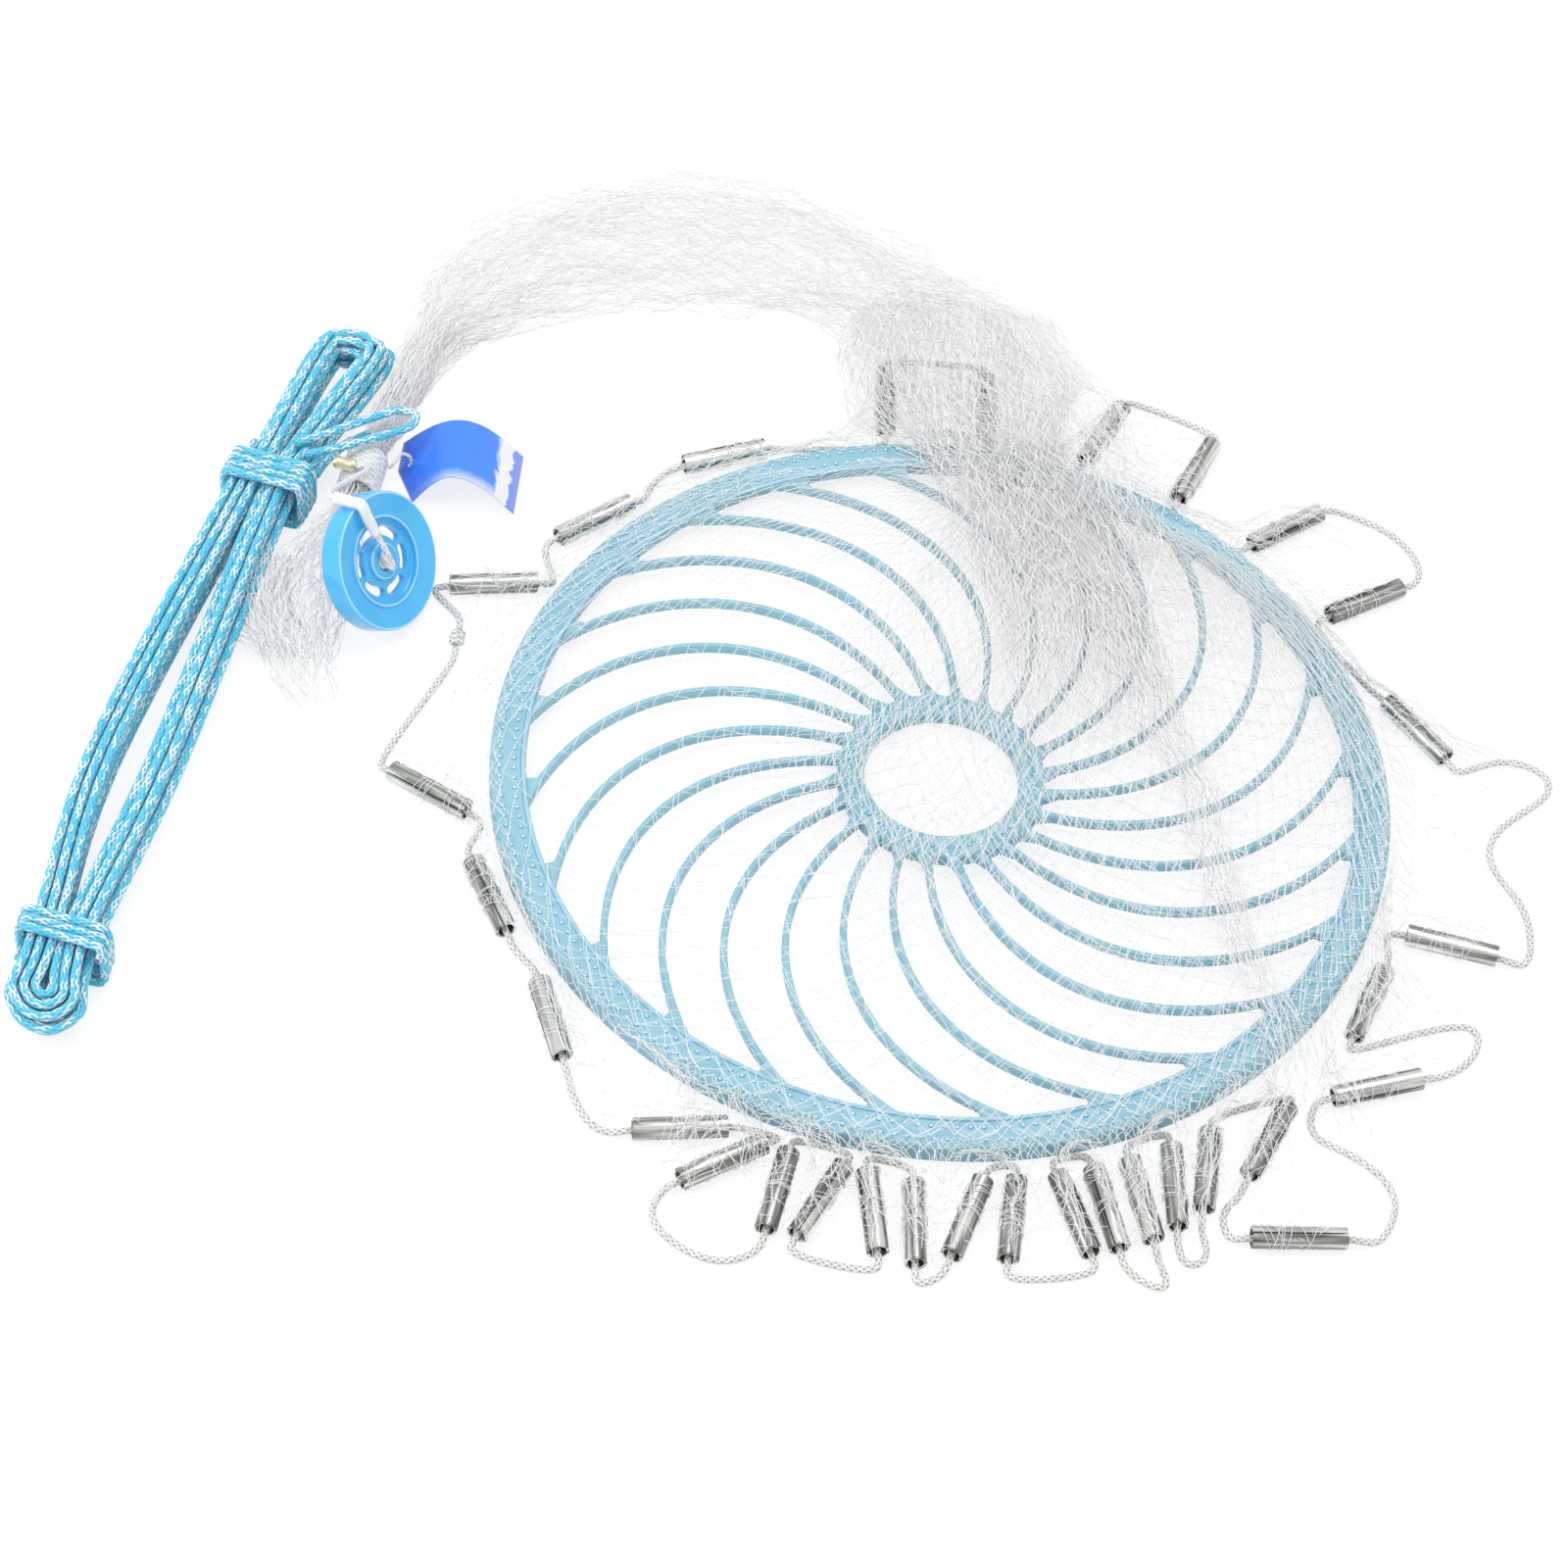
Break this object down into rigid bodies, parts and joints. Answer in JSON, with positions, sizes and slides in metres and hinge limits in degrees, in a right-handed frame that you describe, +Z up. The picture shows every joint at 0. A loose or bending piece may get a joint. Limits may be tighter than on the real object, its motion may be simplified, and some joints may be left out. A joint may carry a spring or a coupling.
{
  "type": "cast net",
  "caption": "Hand-thrown cast net with a spoked plastic throwing disc, a weighted lead line, a gathered net neck and a tied hand rope.",
  "frame": {"origin": "on the floor, under the middle of the box round everything but the free hand rope", "axes": "+Z up, +X to the right and +Y away from someone who faces the disc with the gathered net behind it"},
  "size_m": [0.6561, 0.6234, 0.0628],
  "materials": {
    "disc_plastic": "satin moulded plastic, pale blue, slightly see-through",
    "rolled_steel": "rolled zinc-grey sheet, lightly marked",
    "lead_line_cord": "soft braided cord",
    "net_nylon": "clear nylon thread, knotted",
    "blue_rope": "braided rope, sky blue",
    "wheel_plastic": "glossy moulded plastic, bright blue",
    "white_cord": "white braided cord",
    "tag_card": "coated card, blue fading to white",
    "brass": "crimped sleeve"
  },
  "bodies": {
    "net_and_disc": {"throwing_disc": "disc_plastic", "lead_line": "lead_line_cord", "lead_line_knot": "lead_line_cord", "net_crown": "net_nylon", "net_neck": "net_nylon", "net_tail": "net_nylon", "horn_whipping": "white_cord", "ferrule": "brass", "hand_rope_hank": "blue_rope", "rope_wrap_lower": "blue_rope", "rope_wrap_upper": "blue_rope", "rope_bow": "blue_rope", "hand_rope_lead": "blue_rope", "wheel_cord": "white_cord", "tag_string": "white_cord", "net_skirt_1": "net_nylon", "net_skirt_2": "net_nylon", "net_skirt_3": "net_nylon", "net_skirt_4": "net_nylon"},
    "wheel": {"wheel": "wheel_plastic"},
    "tag": {"tag": "tag_card"},
    "sinker_01": {"sinker_01": "rolled_steel"},
    "sinker_02": {"sinker_02": "rolled_steel"},
    "sinker_03": {"sinker_03": "rolled_steel"},
    "sinker_04": {"sinker_04": "rolled_steel"},
    "sinker_05": {"sinker_05": "rolled_steel"},
    "sinker_06": {"sinker_06": "rolled_steel"},
    "sinker_07": {"sinker_07": "rolled_steel"},
    "sinker_08": {"sinker_08": "rolled_steel"},
    "sinker_09": {"sinker_09": "rolled_steel"},
    "sinker_10": {"sinker_10": "rolled_steel"},
    "sinker_11": {"sinker_11": "rolled_steel"},
    "sinker_12": {"sinker_12": "rolled_steel"},
    "sinker_13": {"sinker_13": "rolled_steel"},
    "sinker_14": {"sinker_14": "rolled_steel"},
    "sinker_15": {"sinker_15": "rolled_steel"},
    "sinker_16": {"sinker_16": "rolled_steel"},
    "sinker_17": {"sinker_17": "rolled_steel"},
    "sinker_18": {"sinker_18": "rolled_steel"},
    "sinker_19": {"sinker_19": "rolled_steel"},
    "sinker_20": {"sinker_20": "rolled_steel"},
    "sinker_21": {"sinker_21": "rolled_steel"},
    "sinker_22": {"sinker_22": "rolled_steel"},
    "sinker_23": {"sinker_23": "rolled_steel"},
    "sinker_24": {"sinker_24": "rolled_steel"},
    "sinker_25": {"sinker_25": "rolled_steel"},
    "sinker_26": {"sinker_26": "rolled_steel"},
    "sinker_27": {"sinker_27": "rolled_steel"},
    "sinker_28": {"sinker_28": "rolled_steel"},
    "sinker_29": {"sinker_29": "rolled_steel"},
    "sinker_30": {"sinker_30": "rolled_steel"},
    "sinker_31": {"sinker_31": "rolled_steel"}
  },
  "joints": [
    {"name": "wheel_spin", "type": "hinge", "parent": "net_and_disc", "child": "wheel", "pos_m": [-0.24109, 0.02309, 0.02922], "axis": [0.7712, -0.3321, 0.5431], "continuous": true},
    {"name": "tag_swing", "type": "hinge", "parent": "net_and_disc", "child": "tag", "pos_m": [-0.23855, 0.10452, 0.00677], "axis": [0, 0, 1], "range_deg": [-15, 8]},
    {"name": "sinker_01_spin", "type": "hinge", "parent": "net_and_disc", "child": "sinker_01", "pos_m": [-0.20325, -0.08492, 0.0048], "axis": [-0.8988, 0.4384, 0], "continuous": true},
    {"name": "sinker_02_spin", "type": "hinge", "parent": "net_and_disc", "child": "sinker_02", "pos_m": [-0.16966, -0.13833, 0.0048], "axis": [0.4772, -0.8788, 0], "continuous": true},
    {"name": "sinker_03_spin", "type": "hinge", "parent": "net_and_disc", "child": "sinker_03", "pos_m": [-0.13565, -0.19915, 0.0048], "axis": [0.3665, -0.9304, 0], "continuous": true},
    {"name": "sinker_04_spin", "type": "hinge", "parent": "net_and_disc", "child": "sinker_04", "pos_m": [-0.07566, -0.24726, 0.0048], "axis": [-0.9848, -0.1736, 0], "continuous": true},
    {"name": "sinker_05_spin", "type": "hinge", "parent": "net_and_disc", "child": "sinker_05", "pos_m": [-0.05663, -0.26154, 0.0048], "axis": [-0.8231, -0.5678, 0], "continuous": true},
    {"name": "sinker_06_spin", "type": "hinge", "parent": "net_and_disc", "child": "sinker_06", "pos_m": [-0.03273, -0.27274, 0.0048], "axis": [-0.1478, -0.989, 0], "continuous": true},
    {"name": "sinker_07_spin", "type": "hinge", "parent": "net_and_disc", "child": "sinker_07", "pos_m": [-0.01453, -0.27496, 0.0048], "axis": [-0.4083, -0.9128, 0], "continuous": true},
    {"name": "sinker_08_spin", "type": "hinge", "parent": "net_and_disc", "child": "sinker_08", "pos_m": [0.00725, -0.27737, 0.0048], "axis": [0.184, -0.9829, 0], "continuous": true},
    {"name": "sinker_09_spin", "type": "hinge", "parent": "net_and_disc", "child": "sinker_09", "pos_m": [0.02491, -0.28073, 0.0048], "axis": [0.0854, -0.9963, 0], "continuous": true},
    {"name": "sinker_10_spin", "type": "hinge", "parent": "net_and_disc", "child": "sinker_10", "pos_m": [0.04623, -0.27523, 0.0048], "axis": [-0.2656, -0.9641, 0], "continuous": true},
    {"name": "sinker_11_spin", "type": "hinge", "parent": "net_and_disc", "child": "sinker_11", "pos_m": [0.0648, -0.27338, 0.0048], "axis": [-0.0279, -0.9996, 0], "continuous": true},
    {"name": "sinker_12_spin", "type": "hinge", "parent": "net_and_disc", "child": "sinker_12", "pos_m": [0.0904, -0.26723, 0.0048], "axis": [0.3939, -0.9191, 0], "continuous": true},
    {"name": "sinker_13_spin", "type": "hinge", "parent": "net_and_disc", "child": "sinker_13", "pos_m": [0.1035, -0.26269, 0.0048], "axis": [0.3156, -0.9489, 0], "continuous": true},
    {"name": "sinker_14_spin", "type": "hinge", "parent": "net_and_disc", "child": "sinker_14", "pos_m": [0.11789, -0.25635, 0.0048], "axis": [0.289, -0.9573, 0], "continuous": true},
    {"name": "sinker_15_spin", "type": "hinge", "parent": "net_and_disc", "child": "sinker_15", "pos_m": [0.13111, -0.24794, 0.0048], "axis": [0.1045, -0.9945, 0], "continuous": true},
    {"name": "sinker_16_spin", "type": "hinge", "parent": "net_and_disc", "child": "sinker_16", "pos_m": [0.1447, -0.23757, 0.0048], "axis": [-0.0471, -0.9989, 0], "continuous": true},
    {"name": "sinker_17_spin", "type": "hinge", "parent": "net_and_disc", "child": "sinker_17", "pos_m": [0.17011, -0.21945, 0.0048], "axis": [-0.3811, -0.9245, 0], "continuous": true},
    {"name": "sinker_18_spin", "type": "hinge", "parent": "net_and_disc", "child": "sinker_18", "pos_m": [0.18363, -0.26643, 0.0048], "axis": [0.9928, 0.1201, 0], "continuous": true},
    {"name": "sinker_19_spin", "type": "hinge", "parent": "net_and_disc", "child": "sinker_19", "pos_m": [0.21568, -0.18564, 0.0048], "axis": [0.9311, 0.3649, 0], "continuous": true},
    {"name": "sinker_20_spin", "type": "hinge", "parent": "net_and_disc", "child": "sinker_20", "pos_m": [0.21171, -0.1414, 0.0048], "axis": [-0.3256, -0.9455, 0], "continuous": true},
    {"name": "sinker_21_spin", "type": "hinge", "parent": "net_and_disc", "child": "sinker_21", "pos_m": [0.24775, -0.10524, 0.0048], "axis": [0.9877, -0.1564, 0], "continuous": true},
    {"name": "sinker_22_spin", "type": "hinge", "parent": "net_and_disc", "child": "sinker_22", "pos_m": [0.23207, 0.01514, 0.0048], "axis": [0.6691, -0.7431, 0], "continuous": true},
    {"name": "sinker_23_spin", "type": "hinge", "parent": "net_and_disc", "child": "sinker_23", "pos_m": [0.20793, 0.08946, 0.0048], "axis": [0.829, 0.5592, 0], "continuous": true},
    {"name": "sinker_24_spin", "type": "hinge", "parent": "net_and_disc", "child": "sinker_24", "pos_m": [0.17034, 0.1297, 0.0048], "axis": [0.7826, 0.6225, 0], "continuous": true},
    {"name": "sinker_25_spin", "type": "hinge", "parent": "net_and_disc", "child": "sinker_25", "pos_m": [0.12686, 0.1594, 0.0048], "axis": [0.3746, 0.9272, 0], "continuous": true},
    {"name": "sinker_26_spin", "type": "hinge", "parent": "net_and_disc", "child": "sinker_26", "pos_m": [0.08252, 0.17685, 0.0048], "axis": [0.3907, 0.9205, 0], "continuous": true},
    {"name": "sinker_27_spin", "type": "hinge", "parent": "net_and_disc", "child": "sinker_27", "pos_m": [0.02584, 0.18549, 0.0048], "axis": [-0.0698, 0.9976, 0], "continuous": true},
    {"name": "sinker_28_spin", "type": "hinge", "parent": "net_and_disc", "child": "sinker_28", "pos_m": [-0.02236, 0.1817, 0.0048], "axis": [-0.0872, 0.9962, 0], "continuous": true},
    {"name": "sinker_29_spin", "type": "hinge", "parent": "net_and_disc", "child": "sinker_29", "pos_m": [-0.09445, 0.13398, 0.0048], "axis": [-0.9135, -0.4067, 0], "continuous": true},
    {"name": "sinker_30_spin", "type": "hinge", "parent": "net_and_disc", "child": "sinker_30", "pos_m": [-0.15017, 0.08506, 0.0048], "axis": [-0.766, -0.6428, 0], "continuous": true},
    {"name": "sinker_31_spin", "type": "hinge", "parent": "net_and_disc", "child": "sinker_31", "pos_m": [-0.19103, 0.03902, 0.0048], "axis": [-0.9816, -0.1908, 0], "continuous": true}
  ]
}
